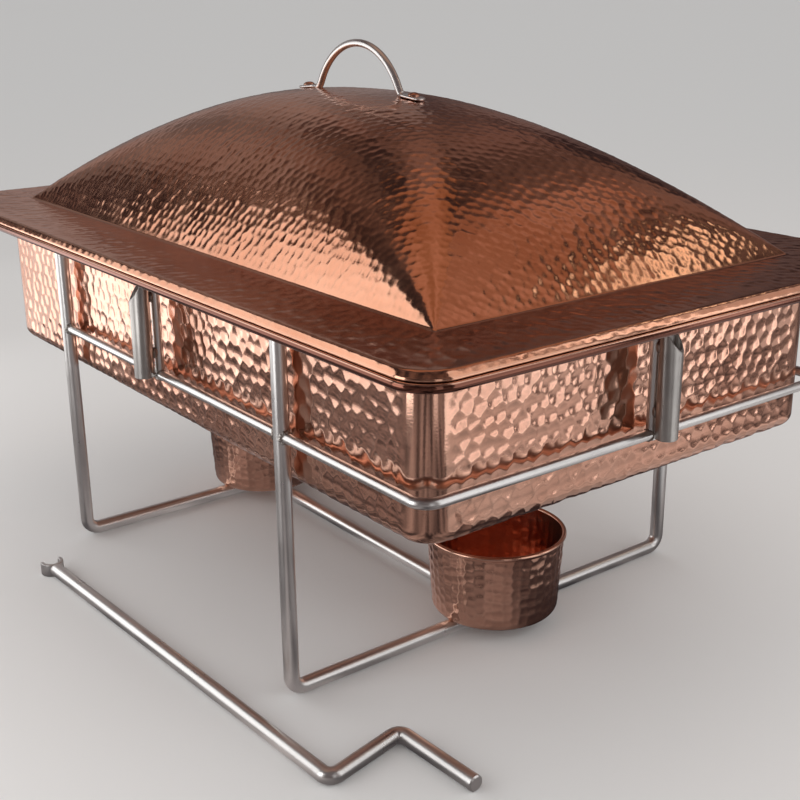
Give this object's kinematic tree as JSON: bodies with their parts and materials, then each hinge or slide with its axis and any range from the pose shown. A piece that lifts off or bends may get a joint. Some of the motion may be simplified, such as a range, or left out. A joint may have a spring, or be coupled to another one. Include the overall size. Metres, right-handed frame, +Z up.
{
  "type": "chafing dish",
  "caption": "Rectangular chafing dish on a welded rod stand, with domed lift-off lid, food pan in a water pan, fuel cups and a loose lid holder rod.",
  "frame": {"origin": "centre of the whole set's footprint, at table height", "axes": "+X along the dish's long side, towards the end that has the ring and a socket; +Y towards the plain long side at the back; +Z up"},
  "size_m": [0.615, 0.4086, 0.3692],
  "materials": {
    "lid_copper": "finely hand-hammered polished copper under clear lacquer",
    "pan_copper": "coarsely hand-hammered polished copper under clear lacquer",
    "cup_copper": "hand-hammered polished copper in upright columns",
    "rivet_copper": "polished copper",
    "stand_steel": "satin stainless steel rod",
    "handle_steel": "polished stainless steel rod",
    "food_pan_steel": "bright drawn stainless steel sheet"
  },
  "bodies": {
    "stand": {"leg_frame_left": "stand_steel", "leg_frame_right": "stand_steel", "base_rail": "stand_steel", "ring_rod_front_left": "stand_steel", "ring_rod_front_right": "stand_steel", "ring_rod_end_front": "stand_steel", "ring_rod_end_rear": "stand_steel", "ring_rod_rear": "stand_steel", "socket_post_front": "stand_steel", "socket_post_end": "stand_steel", "socket_tube_front": "stand_steel", "socket_tube_end": "stand_steel", "frame_welds": "stand_steel", "socket_welds": "stand_steel"},
    "water_pan_body": {"water_pan": "pan_copper", "water_pan_edge_wire": "stand_steel"},
    "food_pan_body": {"food_pan": "food_pan_steel", "food_pan_rim": "food_pan_steel"},
    "lid": {"lid_shell": "lid_copper", "lid_handle": "handle_steel", "handle_rivets": "rivet_copper", "rivet_washers": "rivet_copper"},
    "fuel_cup_left_body": {"fuel_cup_left": "cup_copper"},
    "fuel_cup_right_body": {"fuel_cup_right": "cup_copper"},
    "lid_holder": {"lid_holder_rod": "stand_steel", "lid_holder_fork": "stand_steel"}
  },
  "joints": [
    {"name": "water_pan_lift", "type": "slide", "parent": "stand", "child": "water_pan_body", "axis": [0, 0, 1], "range_m": [0, 0.2]},
    {"name": "food_pan_lift", "type": "slide", "parent": "water_pan_body", "child": "food_pan_body", "axis": [0, 0, 1], "range_m": [0, 0.12]},
    {"name": "lid_lift", "type": "slide", "parent": "food_pan_body", "child": "lid", "axis": [0, 0, 1], "range_m": [0, 0.25]},
    {"name": "fuel_cup_left_lift", "type": "slide", "parent": "stand", "child": "fuel_cup_left_body", "axis": [0, 0, 1], "range_m": [0, 0.06]},
    {"name": "fuel_cup_right_lift", "type": "slide", "parent": "stand", "child": "fuel_cup_right_body", "axis": [0, 0, 1], "range_m": [0, 0.06]},
    {"name": "lid_holder_slide", "type": "slide", "parent": "stand", "child": "lid_holder", "axis": [0, -1, 0], "range_m": [0, 0.15]}
  ]
}
